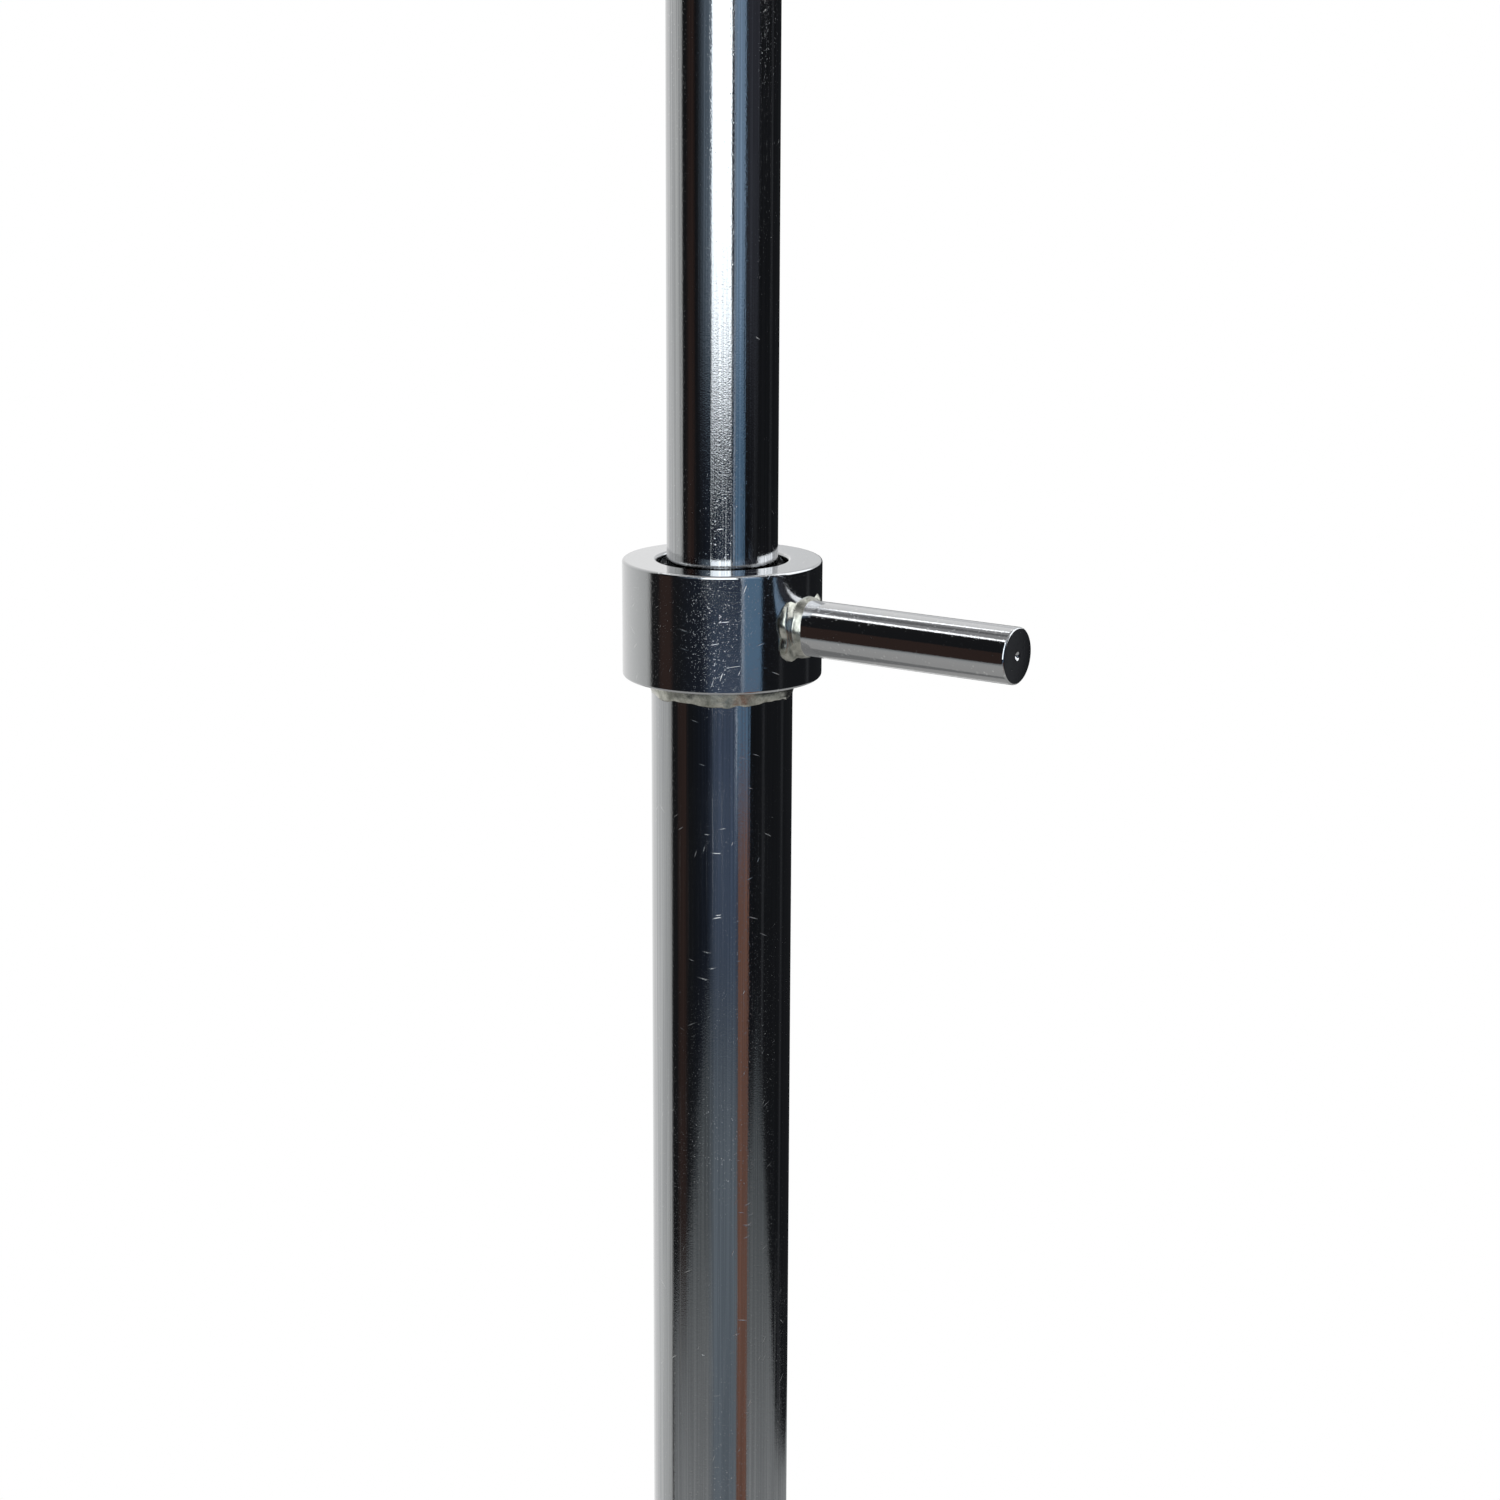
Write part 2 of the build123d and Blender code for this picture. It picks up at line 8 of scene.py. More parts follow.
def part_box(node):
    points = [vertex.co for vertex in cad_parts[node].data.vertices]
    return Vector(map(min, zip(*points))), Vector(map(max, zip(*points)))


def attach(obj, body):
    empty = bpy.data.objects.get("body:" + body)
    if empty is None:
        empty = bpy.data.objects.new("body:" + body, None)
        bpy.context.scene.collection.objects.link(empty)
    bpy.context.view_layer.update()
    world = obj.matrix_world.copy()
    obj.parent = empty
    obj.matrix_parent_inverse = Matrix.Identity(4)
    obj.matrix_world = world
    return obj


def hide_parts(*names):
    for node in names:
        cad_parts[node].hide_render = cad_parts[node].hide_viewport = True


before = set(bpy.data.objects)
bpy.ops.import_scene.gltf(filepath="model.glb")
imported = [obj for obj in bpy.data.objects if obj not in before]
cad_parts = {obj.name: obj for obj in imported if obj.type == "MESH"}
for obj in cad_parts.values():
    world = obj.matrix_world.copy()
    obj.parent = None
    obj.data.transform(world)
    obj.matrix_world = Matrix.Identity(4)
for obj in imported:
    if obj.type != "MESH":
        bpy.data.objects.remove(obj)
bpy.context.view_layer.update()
mm = 0.001
up = Vector((0, 0, 1))
print("frame loaded:", len(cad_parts), "nodes")


lockView = {
    "azimuth": 33.4,  # degrees from -Y towards +X
    "distance": 0.674,  # from the pole's axis
    "sideways": 0.0064,
    "aboveCollar": 0.123,
    "pitch": -13.94,
    "roll": 0.25,
    "lens": 73.2,
}

collarLow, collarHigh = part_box("lock_collar")


def makeCamera(look):
    turn = math.radians(look["azimuth"])
    out = Vector((math.sin(turn), -math.cos(turn), 0))
    side = Vector((math.cos(turn), math.sin(turn), 0))
    data = bpy.data.cameras.new("lockCamera")
    camera = bpy.data.objects.new("lockCamera", data)
    bpy.context.scene.collection.objects.link(camera)
    data.lens = look["lens"]
    data.clip_start = 0.01
    level = up * (collarHigh.z + look["aboveCollar"])
    camera.location = out * look["distance"] + side * look["sideways"] + level
    tilt = Matrix.Rotation(math.radians(90 + look["pitch"]), 4, "X")
    roll = Matrix.Rotation(math.radians(look["roll"]), 4, "Z")
    camera.rotation_euler = (Matrix.Rotation(turn, 4, "Z") @ tilt @ roll).to_euler()
    bpy.context.scene.camera = camera
    return camera


makeCamera(lockView)
bpy.context.scene.view_settings.view_transform = "Standard"


def put(tree, kind, inputs=None, **settings):  # adds a node and joins or sets its inputs
    node = tree.nodes.new(kind)
    for key, value in settings.items():
        setattr(node, key, value)
    for key, value in (inputs or {}).items():
        socket = node.inputs[key]
        if isinstance(value, bpy.types.NodeSocket):
            tree.links.new(value, socket)
        else:
            socket.default_value = value
    return node


def calc(tree, operation, a, b=0.0):
    return put(tree, "ShaderNodeMath", {0: a, 1: b}, operation=operation).outputs[0]


def remap(tree, value, low, high, toLow=0.0, toHigh=1.0, smooth=False):
    kind = "SMOOTHSTEP" if smooth else "LINEAR"
    ports = {"Value": value, "From Min": low, "From Max": high, "To Min": toLow, "To Max": toHigh}
    return put(tree, "ShaderNodeMapRange", ports, interpolation_type=kind).outputs["Result"]


def mixColour(tree, share, a, b):
    node = put(tree, "ShaderNodeMix", {"Factor": share}, data_type="RGBA")
    for socket, value in ((node.inputs[6], a), (node.inputs[7], b)):
        if isinstance(value, bpy.types.NodeSocket):
            tree.links.new(value, socket)
        else:
            socket.default_value = (*value, 1.0)
    return node.outputs[2]


def ramp(tree, value, low, high, stops):
    node = put(tree, "ShaderNodeValToRGB", {"Fac": remap(tree, value, low, high)})
    band = node.color_ramp
    for n, (place, colour) in enumerate(stops):
        share = (place - low) / (high - low)
        stop = band.elements[n] if n < 2 else band.elements.new(share)
        stop.position = share
        stop.color = (*colour, 1.0)
    return node.outputs["Color"]


# What the chrome mirrors. Azimuths are from the camera's side, right is positive, and heights are
# above the horizon, both in degrees. The walls run right round and the floor rises to its edge, which
# changes with the azimuth; each panel is laid over them in turn.
studio = {
    "backdrop": (1.0, 1.0, 1.0),
    "walls": [
        (-180, (0.98, 0.98, 0.98)),
        (-150, (0.85, 0.85, 0.85)),
        (-118, (0.66, 0.67, 0.665)),
        (-96, (0.52, 0.53, 0.525)),
        (-91, (0.36, 0.365, 0.36)),
        (-88, (0.014, 0.014, 0.015)),
        (-50, (0.011, 0.012, 0.014)),
        (-24, (0.012, 0.016, 0.025)),
        (20, (0.014, 0.019, 0.031)),
        (52, (0.009, 0.010, 0.012)),
        (69, (0.011, 0.012, 0.014)),
        (72, (0.040, 0.042, 0.046)),
        (75, (0.012, 0.013, 0.015)),
        (113, (0.012, 0.013, 0.015)),
        (117, (0.044, 0.046, 0.050)),
        (121, (0.012, 0.013, 0.015)),
        (180, (0.016, 0.017, 0.019)),
    ],
    "edgeSoft": 0.35,
    "floorEdge": [
        (-180, -37),
        (-89, -37),
        (-86, -24.5),
        (-58, -23.4),
        (-44, -22.0),
        (-22, -18.9),
        (-6, -19.6),
        (24, -20.6),
        (46, -21.4),
        (64, -19.7),
        (112, -26.7),
        (150, -27),
        (180, -25),
    ],
    "floor": [
        (-90, (0.36, 0.36, 0.355)),
        (-40, (0.42, 0.42, 0.415)),
        (-31, (0.40, 0.41, 0.41)),
        (-27, (0.25, 0.26, 0.265)),
        (-24, (0.15, 0.16, 0.165)),
        (-21, (0.100, 0.112, 0.120)),
        (-18, (0.070, 0.086, 0.100)),
        (90, (0.070, 0.086, 0.100)),
    ],
    "panels": [
        {"azimuth": (-76, -59), "height": (-24, 14), "soft": (2.5, 2), "colour": (0.037, 0.024, 0.021)},
        {"azimuth": (128, 200), "height": (4, 54), "soft": (3, 2), "colour": (0.74, 0.75, 0.76)},
        {"azimuth": (-42, -10), "height": (-6.8, 54), "soft": (13, 1.2), "colour": (0.145, 0.185, 0.230)},
        {"azimuth": (49, 77), "height": (-7, 54), "soft": (3, 2), "colour": (0.042, 0.045, 0.056)},
        {"azimuth": (-15, 30), "height": (-19.5, -11.5), "soft": (9, 3), "colour": (0.070, 0.096, 0.150)},
        {"azimuth": (-15, 30), "height": (-30, -19.5), "soft": (9, 3), "colour": (0.155, 0.185, 0.215)},
        {"azimuth": (-22.5, 17.5), "height": (-7.05, 54), "soft": (1.5, 0.85), "colour": (2.3, 2.45, 2.55)},
        {"azimuth": (28.0, 46.0), "height": (-50, -14.7), "soft": (0.8, 0.6), "colour": (0.20, 0.105, 0.078)},
        {"azimuth": (23.8, 46.5), "height": (-14.7, 54), "soft": (0.8, 0.6), "colour": (0.110, 0.195, 0.300)},
        {"azimuth": (23.8, 46.5), "height": (-6.4, 54), "soft": (0.8, 1.2), "colour": (0.260, 0.375, 0.520)},
        {"azimuth": (23.0, 25.2), "height": (-14.7, 54), "soft": (0.5, 0.6), "colour": (0.40, 0.46, 0.54)},
        {"azimuth": (80, 128), "height": (3, 54), "soft": (1.5, 2), "colour": (1.7, 1.75, 1.8)},
        {"azimuth": (-200, 200), "height": (52, 90), "soft": (5, 1), "colour": (0.33, 0.33, 0.335)},
        {"azimuth": (-200, 200), "height": (53, 56), "soft": (5, 1), "colour": (2.6, 2.65, 2.7)},
    ],
}


def between(tree, value, low, high, soft):  # 1 from low to high, with soft ends
    rise = remap(tree, value, low - soft, low + soft, smooth=True)
    fall = remap(tree, value, high + soft, high - soft, smooth=True)
    return calc(tree, "MULTIPLY", rise, fall)


def makeWorld(look):
    world = bpy.data.worlds.new("studioWorld")
    world.use_nodes = True
    tree = world.node_tree
    tree.nodes.clear()
    way = put(tree, "ShaderNodeTexCoord").outputs["Generated"]
    turn = -math.radians(lockView["azimuth"])
    turned = put(tree, "ShaderNodeVectorRotate", {"Vector": way, "Angle": turn}, rotation_type="Z_AXIS")
    parts = put(tree, "ShaderNodeSeparateXYZ", {0: turned.outputs[0]}).outputs
    back = calc(tree, "MULTIPLY", parts[1], -1.0)
    azimuth = calc(tree, "MULTIPLY", calc(tree, "ARCTAN2", parts[0], back), 180 / math.pi)
    height = calc(tree, "MULTIPLY", calc(tree, "ARCSINE", parts[2]), 180 / math.pi)
    colour = ramp(tree, azimuth, -180, 180, look["walls"])
    heights = [(place, (1 + rise / 90,) * 3) for place, rise in look["floorEdge"]]  # as shares of -90 to 0
    edge = ramp(tree, azimuth, -180, 180, heights)
    above = calc(tree, "SUBTRACT", height, remap(tree, edge, 0.0, 1.0, -90.0, 0.0))
    floor = ramp(tree, height, -90, 90, look["floor"])
    below = remap(tree, above, look["edgeSoft"], -look["edgeSoft"], smooth=True)
    colour = mixColour(tree, below, colour, floor)
    for panel in look["panels"]:
        wide = between(tree, azimuth, *panel["azimuth"], panel["soft"][0])
        tall = between(tree, height, *panel["height"], panel["soft"][1])
        colour = mixColour(tree, calc(tree, "MULTIPLY", wide, tall), colour, panel["colour"])
    seen = put(tree, "ShaderNodeLightPath").outputs["Is Camera Ray"]
    colour = mixColour(tree, seen, colour, look["backdrop"])
    shade = put(tree, "ShaderNodeBackground", {"Color": colour})
    end = put(tree, "ShaderNodeOutputWorld")
    tree.links.new(shade.outputs[0], end.inputs["Surface"])
    bpy.context.scene.world = world


makeWorld(studio)

softLights = {
    "key": {"at": (-1.6, -2.2, 3.0), "aim": (0, 0, 0.5), "size": 1.8, "power": 90},
    "fill": {"at": (2.4, -0.8, 2.2), "aim": (0, 0, 0.5), "size": 1.8, "power": 50},
    "rim": {"at": (0.3, 2.6, 2.8), "aim": (0, 0, 0.6), "size": 1.6, "power": 60},
}


def makeLights(looks):
    for name, look in looks.items():
        data = bpy.data.lights.new(name + "Light", "AREA")
        data.energy = look["power"]
        data.size = look["size"]
        light = bpy.data.objects.new(name + "Light", data)
        bpy.context.scene.collection.objects.link(light)
        light.location = look["at"]
        aim = Vector(look["aim"]) - Vector(look["at"])
        light.rotation_euler = aim.to_track_quat("-Z", "Y").to_euler()
        light.visible_glossy = False
        light.visible_camera = False


makeLights(softLights)
print("camera, world and lights made")


def newGroup(name, inputs, outputs):
    group = bpy.data.node_groups.new(name, "ShaderNodeTree")
    for label, kind, value in inputs:
        socket = group.interface.new_socket(name=label, in_out="INPUT", socket_type=kind)
        if value is not None:
            socket.default_value = value
    for label, kind in outputs:
        group.interface.new_socket(name=label, in_out="OUTPUT", socket_type=kind)
    enter = group.nodes.new("NodeGroupInput")
    leave = group.nodes.new("NodeGroupOutput")
    return group, enter.outputs, leave.inputs


number, vectorKind = "NodeSocketFloat", "NodeSocketVector"


markInputs = [
    ("Position", vectorKind, None),
    ("Scale", number, 100.0),
    ("Share", number, 0.3),
    ("Size", number, 0.2),
]


def makeMarks():  # scattered specks; on a stretched position they are scratches
    group, given, result = newGroup(
        "marks",
        markInputs,
        [("Mask", number)],
    )
    cells = put(group, "ShaderNodeTexVoronoi", {"Vector": given["Position"], "Scale": given["Scale"]})
    chance = put(group, "ShaderNodeSeparateColor", {0: cells.outputs["Color"]}).outputs
    chosen = calc(group, "LESS_THAN", chance[0], given["Share"])
    wide = calc(group, "MULTIPLY", given["Size"], remap(group, chance[1], 0.0, 1.0, 0.35, 1.0))
    spot = calc(group, "SUBTRACT", 1.0, calc(group, "DIVIDE", cells.outputs["Distance"], wide))
    spot = put(group, "ShaderNodeClamp", {0: spot}).outputs[0]
    group.links.new(calc(group, "MULTIPLY", chosen, spot), result["Mask"])
    return group


# each family of scratches: how its cells are turned, and how far they are stretched along each axis
scratchFamilies = [
    ((0.4, 0.3, 0.2), (1, 14, 14)),
    ((0.8, 0.2, 0.9), (16, 1, 16)),
    ((0.2, 0.9, 2.1), (1, 18, 18)),
]


def makeScratches(marks):  # fine lines, each family in its own direction
    group, given, result = newGroup(
        "scratches",
        markInputs,
        [("Mask", number)],
    )
    total = None
    for turn, stretch in scratchFamilies:
        ports = {"Vector": given["Position"], "Rotation": turn, "Scale": stretch}
        place = put(group, "ShaderNodeMapping", ports, vector_type="TEXTURE")
        mask = put(group, "ShaderNodeGroup", None, node_tree=marks)
        group.links.new(place.outputs[0], mask.inputs["Position"])
        for key in ("Scale", "Share", "Size"):
            group.links.new(given[key], mask.inputs[key])
        total = mask.outputs[0] if total is None else calc(group, "MAXIMUM", total, mask.outputs[0])
    group.links.new(total, result["Mask"])
    return group


def makeClouds():  # soft blotches between two values
    group, given, result = newGroup(
        "clouds",
        [("Position", vectorKind, None), ("Scale", number, 8.0), ("Low", number, 0.0), ("High", number, 1.0)],
        [("Value", number)],
    )
    ports = {"Vector": given["Position"], "Scale": given["Scale"], "Detail": 6.0, "Roughness": 0.6}
    field = put(group, "ShaderNodeTexNoise", ports).outputs[0]
    spread = remap(group, field, 0.32, 0.68)
    blend = put(group, "ShaderNodeMix", {"Factor": spread}, data_type="FLOAT")
    group.links.new(given["Low"], blend.inputs[2])
    group.links.new(given["High"], blend.inputs[3])
    group.links.new(blend.outputs[0], result["Value"])
    return group


def makeEdgeWear():  # where an edge is rubbed, broken up by noise
    group, given, result = newGroup(
        "edgeWear",
        [("Position", vectorKind, None), ("Width", number, 0.0006), ("Amount", number, 0.6)],
        [("Mask", number)],
    )
    soft = put(group, "ShaderNodeBevel", {"Radius": given["Width"]}, samples=6).outputs[0]
    plain = put(group, "ShaderNodeNewGeometry").outputs["Normal"]
    along = put(group, "ShaderNodeVectorMath", {0: soft, 1: plain}, operation="DOT_PRODUCT").outputs["Value"]
    edge = remap(group, along, 0.995, 0.85)
    breaks = {"Vector": given["Position"], "Scale": 260.0, "Detail": 4.0}
    broken = put(group, "ShaderNodeTexNoise", breaks).outputs[0]
    mask = calc(group, "MULTIPLY", edge, remap(group, broken, 0.42, 0.62))
    group.links.new(calc(group, "MULTIPLY", mask, given["Amount"]), result["Mask"])
    return group


marksGroup = makeMarks()
scratchesGroup = makeScratches(marksGroup)
cloudsGroup = makeClouds()
edgeWearGroup = makeEdgeWear()


def useGroup(tree, group, ports):
    node = put(tree, "ShaderNodeGroup", None, node_tree=group)
    for key, value in ports.items():
        if isinstance(value, bpy.types.NodeSocket):
            tree.links.new(value, node.inputs[key])
        else:
            node.inputs[key].default_value = value
    return node.outputs[0]


def newFinish(name):
    material = bpy.data.materials.new(name)
    material.use_nodes = True
    tree = material.node_tree
    tree.nodes.clear()
    shade = put(tree, "ShaderNodeBsdfPrincipled")
    end = put(tree, "ShaderNodeOutputMaterial")
    tree.links.new(shade.outputs[0], end.inputs["Surface"])
    place = put(tree, "ShaderNodeTexCoord").outputs["Object"]
    return material, tree, shade, place


def moved(tree, place, offset=(0, 0, 0), scale=(1, 1, 1)):
    return put(tree, "ShaderNodeMapping", {"Vector": place, "Location": offset, "Scale": scale}).outputs[0]


def clouds(tree, place, scale, low=0.0, high=1.0):
    return useGroup(tree, cloudsGroup, {"Position": place, "Scale": scale, "Low": low, "High": high})


def marks(tree, group, place, scale, share, size):
    return useGroup(tree, group, {"Position": place, "Scale": scale, "Share": share, "Size": size})


def noiseField(tree, place, scale, detail):
    return put(tree, "ShaderNodeTexNoise", {"Vector": place, "Scale": scale, "Detail": detail}).outputs[0]


# specks: cells per metre, share of cells and size; scratches likewise, in three directions.
# drawn: lengthwise lines of a drawn tube, along Z; turned: rings of a lathe, about Z; grain: fine pits.
chromeLooks = {
    "pole": {
        "rough": (0.02, 0.05), "specks": (1100, 0.7, 0.26), "scratches": (1300, 0.2, 0.13),
        "drawn": 1.0, "turned": 0.0, "grain": 0.6, "dust": 0.9,
    },
    "column": {
        "rough": (0.03, 0.08), "specks": (1300, 0.9, 0.26), "scratches": (1300, 0.6, 0.13),
        "drawn": 0.8, "turned": 0.0, "grain": 0.35, "dust": 0.9,
    },
    "collar": {
        "rough": (0.04, 0.11), "specks": (1700, 0.9, 0.24), "scratches": (1300, 0.6, 0.14),
        "drawn": 0.0, "turned": 1.0, "grain": 0.5, "dust": 1.0,
    },
    "handle": {
        "rough": (0.03, 0.08), "specks": (620, 0.8, 0.34), "scratches": (1200, 0.45, 0.14),
        "drawn": 0.0, "turned": 0.0, "grain": 0.35, "dust": 0.9,
    },
    "hook": {
        "rough": (0.03, 0.09), "specks": (900, 0.5, 0.28), "scratches": (1200, 0.3, 0.13),
        "drawn": 0.0, "turned": 0.3, "grain": 0.3, "dust": 0.8,
    },
    "leg": {
        "rough": (0.04, 0.11), "specks": (800, 0.6, 0.28), "scratches": (1100, 0.35, 0.13),
        "drawn": 0.0, "turned": 0.0, "grain": 0.3, "dust": 0.9,
    },
    "hub": {
        "rough": (0.04, 0.11), "specks": (800, 0.6, 0.28), "scratches": (1100, 0.35, 0.13),
        "drawn": 0.0, "turned": 0.6, "grain": 0.3, "dust": 0.9,
    },
}

# what all the chrome shares: cells per metre, colours and how much each mark does
plating = {
    "colour": ((0.63, 0.635, 0.64), (0.57, 0.575, 0.585)),
    "streak": (0.36, 0.37, 0.385),
    "mark": (0.93, 0.93, 0.92),
    "rubbed": (0.70, 0.66, 0.58),
    "tint": 9.0,
    "smear": 42.0,
    "dusty": (30.0, 0.1, 1.0),  # scale, lowest and highest
    "scuffed": (24.0, 0.15, 1.0),
    "fine": {"scale": 2.3, "share": 0.7, "strength": 0.8},  # second specks, against the first
    "scratch": {"gain": 1.6, "most": 0.8, "depth": 0.8},
    "streaks": {"scale": 2400.0, "along": 0.004, "depth": 1.1, "dark": 0.8, "hairs": 0.45},
    "rings": {"scale": 1800.0, "depth": 0.10},
    "pits": 3000.0,
    "wear": {"Width": 0.0005, "Amount": 0.6},
    "markRough": 0.40,
    "wearRough": 0.15,
    "depth": 0.02 * mm,
}


def makeChrome(name, look, shared):
    material, tree, shade, place = newFinish(name + "Chrome")
    dusty = clouds(tree, place, *shared["dusty"])
    scale, share, size = look["specks"]
    fine = shared["fine"]
    specks = marks(tree, marksGroup, place, scale, share, size)
    finer = marks(tree, marksGroup, place, scale * fine["scale"], share * fine["share"], size)
    specks = calc(tree, "MAXIMUM", specks, calc(tree, "MULTIPLY", finer, fine["strength"]))
    specks = calc(tree, "MULTIPLY", calc(tree, "MULTIPLY", specks, dusty), look["dust"])

    scuffed = clouds(tree, moved(tree, place, (3, 1, 2)), *shared["scuffed"])
    scratch = shared["scratch"]
    scratches = calc(tree, "MULTIPLY", marks(tree, scratchesGroup, place, *look["scratches"]), scuffed)
    scratches = calc(tree, "MINIMUM", calc(tree, "MULTIPLY", scratches, scratch["gain"]), scratch["most"])

    streak = shared["streaks"]
    streaks = noiseField(tree, moved(tree, place, scale=(1, 1, streak["along"])), streak["scale"], 2.0)
    hairs = calc(tree, "MULTIPLY", scuffed, look["drawn"] * streak["hairs"])
    hairs = calc(tree, "MULTIPLY", remap(tree, streaks, 0.56, 0.68), hairs)
    dull = calc(tree, "MAXIMUM", calc(tree, "MAXIMUM", specks, scratches), hairs)
    wear = useGroup(tree, edgeWearGroup, {"Position": place, **shared["wear"]})

    rough = clouds(tree, place, shared["smear"], *look["rough"])
    rough = calc(tree, "ADD", rough, calc(tree, "MULTIPLY", dull, shared["markRough"]))
    rough = calc(tree, "ADD", rough, calc(tree, "MULTIPLY", wear, shared["wearRough"]))

    plate = mixColour(tree, clouds(tree, place, shared["tint"]), *shared["colour"])
    faint = remap(tree, streaks, 0.38, 0.62, 0.0, look["drawn"] * streak["dark"])
    plate = mixColour(tree, faint, plate, shared["streak"])
    plate = mixColour(tree, dull, plate, shared["mark"])
    plate = mixColour(tree, wear, plate, shared["rubbed"])

    flat = put(tree, "ShaderNodeVectorMath", {0: place, 1: (1, 1, 0)}, operation="MULTIPLY").outputs[0]
    out = put(tree, "ShaderNodeVectorMath", {0: flat}, operation="LENGTH").outputs["Value"]
    lathed = {"W": out, "Scale": shared["rings"]["scale"], "Detail": 3.0}
    rings = put(tree, "ShaderNodeTexNoise", lathed, noise_dimensions="1D").outputs[0]
    height = calc(tree, "MULTIPLY", calc(tree, "MULTIPLY", streaks, scuffed), look["drawn"] * streak["depth"])
    rings = calc(tree, "MULTIPLY", rings, look["turned"] * shared["rings"]["depth"])
    height = calc(tree, "ADD", height, rings)
    pits = noiseField(tree, place, shared["pits"], 2.0)
    height = calc(tree, "ADD", height, calc(tree, "MULTIPLY", pits, look["grain"]))
    height = calc(tree, "SUBTRACT", height, specks)
    height = calc(tree, "SUBTRACT", height, calc(tree, "MULTIPLY", scratches, scratch["depth"]))
    bump = put(tree, "ShaderNodeBump", {"Strength": 1.0, "Distance": shared["depth"], "Height": height})

    tree.links.new(plate, shade.inputs["Base Color"])
    tree.links.new(rough, shade.inputs["Roughness"])
    tree.links.new(bump.outputs[0], shade.inputs["Normal"])
    shade.inputs["Metallic"].default_value = 1.0
    return material


# patch: clouds of the two colours per metre; grain: size and depth of the surface's texture;
# wear: the colour that rubbed edges turn
solidLooks = {
    "weldMetal": {
        "colour": ((0.28, 0.285, 0.245), (0.7, 0.69, 0.62)), "metal": 1.0, "rough": (0.14, 0.34),
        "patch": 420.0, "grain": (900, 0.06 * mm), "wear": (0.8, 0.79, 0.74), "marks": 0.5,
    },
    "zincSteel": {
        "colour": ((0.5, 0.51, 0.53), (0.62, 0.63, 0.64)), "metal": 1.0, "rough": (0.24, 0.42),
        "patch": 55.0, "grain": (900, 0.01 * mm), "wear": (0.74, 0.74, 0.74), "marks": 0.5,
    },
    "blackSteel": {
        "colour": ((0.045, 0.045, 0.05), (0.075, 0.072, 0.07)), "metal": 0.9, "rough": (0.3, 0.48),
        "patch": 55.0, "grain": (900, 0.01 * mm), "wear": (0.36, 0.35, 0.34), "marks": 0.4,
    },
    "brass": {
        "colour": ((0.6, 0.43, 0.18), (0.7, 0.54, 0.27)), "metal": 1.0, "rough": (0.18, 0.36),
        "patch": 55.0, "grain": (700, 0.01 * mm), "wear": (0.82, 0.68, 0.4), "marks": 0.4,
    },
    "blackNylon": {
        "colour": ((0.022, 0.022, 0.025), (0.04, 0.04, 0.043)), "metal": 0.0, "rough": (0.42, 0.6),
        "patch": 55.0, "grain": (1300, 0.03 * mm), "wear": (0.12, 0.12, 0.125), "marks": 0.4,
    },
    "greyNylon": {
        "colour": ((0.2, 0.21, 0.22), (0.27, 0.28, 0.29)), "metal": 0.0, "rough": (0.42, 0.6),
        "patch": 55.0, "grain": (1300, 0.03 * mm), "wear": (0.4, 0.41, 0.42), "marks": 0.4,
    },
    "greyPlastic": {
        "colour": ((0.33, 0.34, 0.36), (0.41, 0.42, 0.44)), "metal": 0.0, "rough": (0.34, 0.52),
        "patch": 55.0, "grain": (1500, 0.02 * mm), "wear": (0.55, 0.56, 0.57), "marks": 0.5,
    },
    "blackPlastic": {
        "colour": ((0.02, 0.02, 0.022), (0.036, 0.036, 0.038)), "metal": 0.0, "rough": (0.36, 0.56),
        "patch": 55.0, "grain": (1700, 0.05 * mm), "wear": (0.14, 0.14, 0.145), "marks": 0.5,
    },
    "greyRubber": {
        "colour": ((0.085, 0.088, 0.092), (0.13, 0.132, 0.134)), "metal": 0.0, "rough": (0.58, 0.82),
        "patch": 55.0, "grain": (800, 0.06 * mm), "wear": (0.24, 0.24, 0.235), "marks": 0.6,
    },
    "blackRubber": {
        "colour": ((0.014, 0.014, 0.014), (0.028, 0.028, 0.028)), "metal": 0.0, "rough": (0.6, 0.82),
        "patch": 55.0, "grain": (900, 0.05 * mm), "wear": (0.08, 0.08, 0.08), "marks": 0.4,
    },
}


def makeSolid(name, look):
    material, tree, shade, place = newFinish(name)
    first, second = look["colour"]
    low, high = look["rough"]
    grainScale, grainDepth = look["grain"]
    colour = mixColour(tree, clouds(tree, place, look["patch"]), first, second)
    scratches = marks(tree, scratchesGroup, place, 500.0, 0.3, 0.16)
    scratches = calc(tree, "MULTIPLY", scratches, look["marks"])
    wear = useGroup(tree, edgeWearGroup, {"Position": place, "Width": 0.6 * mm, "Amount": 0.8})
    rubbed = calc(tree, "MAXIMUM", wear, calc(tree, "MULTIPLY", scratches, 0.5))
    colour = mixColour(tree, rubbed, colour, look["wear"])
    rough = clouds(tree, place, 90.0, low, high)
    rough = calc(tree, "ADD", rough, calc(tree, "MULTIPLY", rubbed, -0.1))
    grain = noiseField(tree, place, grainScale, 5.0)
    height = calc(tree, "SUBTRACT", grain, calc(tree, "MULTIPLY", scratches, 0.5))
    bump = put(tree, "ShaderNodeBump", {"Strength": 0.6, "Distance": grainDepth, "Height": height})
    tree.links.new(colour, shade.inputs["Base Color"])
    tree.links.new(rough, shade.inputs["Roughness"])
    tree.links.new(bump.outputs[0], shade.inputs["Normal"])
    shade.inputs["Metallic"].default_value = look["metal"]
    return material


finishes = {name + "Chrome": makeChrome(name, look, plating) for name, look in chromeLooks.items()}
finishes.update({name: makeSolid(name, look) for name, look in solidLooks.items()})
print("finishes made:", len(finishes))


